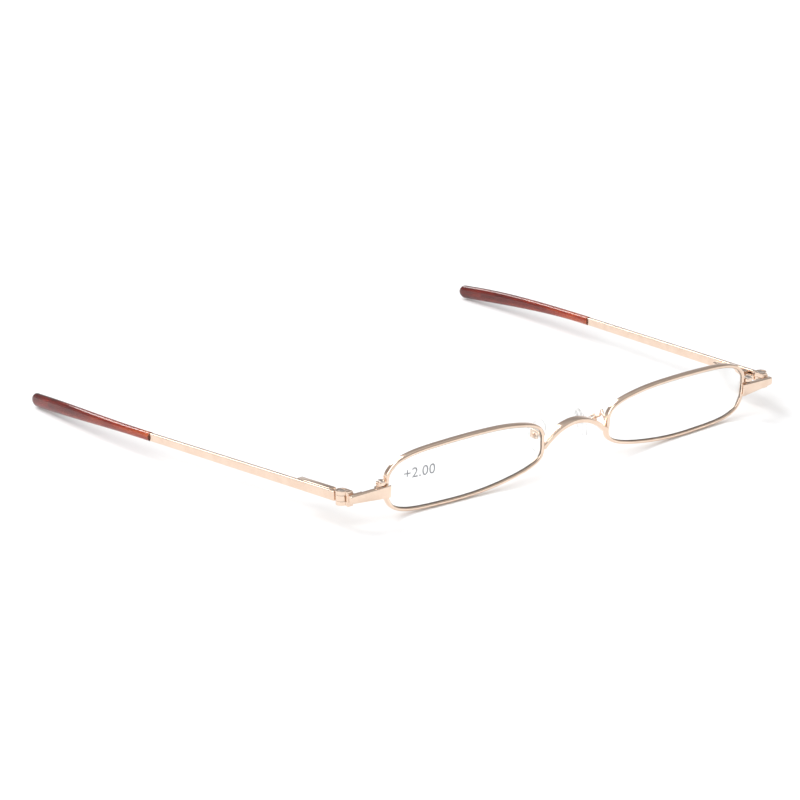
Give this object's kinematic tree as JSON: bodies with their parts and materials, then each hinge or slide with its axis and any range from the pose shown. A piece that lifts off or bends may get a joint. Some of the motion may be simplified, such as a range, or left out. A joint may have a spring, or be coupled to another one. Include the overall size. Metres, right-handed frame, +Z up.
{
  "type": "folding reading glasses",
  "caption": "Slim half-eye reading glasses in thin rose-gold wire, with spring-hinged flat temples, translucent brown tips and clear nose pads",
  "frame": {"origin": "bottom centre of the whole object's box, with the glasses open and standing on their rims and tips", "axes": "+X towards the wearer's left, the mirror plane's normal; +Y from the lenses back to the temple tips; +Z up"},
  "size_m": [0.1428, 0.1285, 0.0163],
  "materials": {
    "frame_metal": "polished rose-gold plate",
    "screw_steel": "bright machined",
    "lens": "clear, coated",
    "tip": "translucent reddish brown, glossy",
    "nose_pad": "clear soft silicone",
    "pad_insert": "clear hard plastic"
  },
  "bodies": {
    "front": {"bridge": "frame_metal", "rim_left": "frame_metal", "rim_right": "frame_metal", "lens_left": "lens", "lens_right": "lens", "endpiece_left": "frame_metal", "endpiece_right": "frame_metal", "rim_lock_left": "frame_metal", "rim_lock_right": "frame_metal", "rim_lock_screw_left": "screw_steel", "rim_lock_screw_right": "screw_steel", "hinge_leaf_left": "frame_metal", "hinge_leaf_right": "frame_metal", "hinge_screw_left": "screw_steel", "hinge_screw_right": "screw_steel", "pad_arm_left": "frame_metal", "pad_arm_right": "frame_metal", "pad_box_left": "frame_metal", "pad_box_right": "frame_metal", "pad_screw_left": "screw_steel", "pad_screw_right": "screw_steel"},
    "slider_left": {"hinge_slider_left": "frame_metal", "hinge_spring_left": "screw_steel", "spring_retainer_left": "screw_steel"},
    "temple_left": {"spring_box_left": "frame_metal", "temple_left": "frame_metal", "temple_tip_left": "tip"},
    "pad_left": {"nose_pad_left": "nose_pad", "pad_insert_left": "pad_insert"},
    "slider_right": {"hinge_slider_right": "frame_metal", "hinge_spring_right": "screw_steel", "spring_retainer_right": "screw_steel"},
    "temple_right": {"spring_box_right": "frame_metal", "temple_right": "frame_metal", "temple_tip_right": "tip"},
    "pad_right": {"nose_pad_right": "nose_pad", "pad_insert_right": "pad_insert"}
  },
  "joints": [
    {"name": "fold_left", "type": "hinge", "parent": "front", "child": "slider_left", "pos_m": [0.0655, -0.05703, 0.00678], "axis": [0, 0, 1], "range_deg": [-8, 89.5]},
    {"name": "spring_slide_left", "type": "slide", "parent": "slider_left", "child": "temple_left", "axis": [0.0541, 0.9981, -0.0279], "range_m": [0, 0.0012], "stiffness_N_per_m": 1500, "deforming": ["hinge_spring_left"]},
    {"name": "pad_rock_left", "type": "hinge", "parent": "front", "child": "pad_left", "pos_m": [0.00931, -0.05816, 0.00918], "axis": [0.42, 0.8728, 0.2486], "range_deg": [-8, 8]},
    {"name": "fold_right", "type": "hinge", "parent": "front", "child": "slider_right", "pos_m": [-0.0655, -0.05703, 0.00678], "axis": [0, 0, -1], "range_deg": [-8, 81.5]},
    {"name": "spring_slide_right", "type": "slide", "parent": "slider_right", "child": "temple_right", "axis": [-0.0541, 0.9981, -0.0279], "range_m": [0, 0.0012], "stiffness_N_per_m": 1500, "deforming": ["hinge_spring_right"]},
    {"name": "pad_rock_right", "type": "hinge", "parent": "front", "child": "pad_right", "pos_m": [-0.00931, -0.05816, 0.00918], "axis": [-0.42, 0.8728, 0.2486], "range_deg": [-8, 8]}
  ]
}
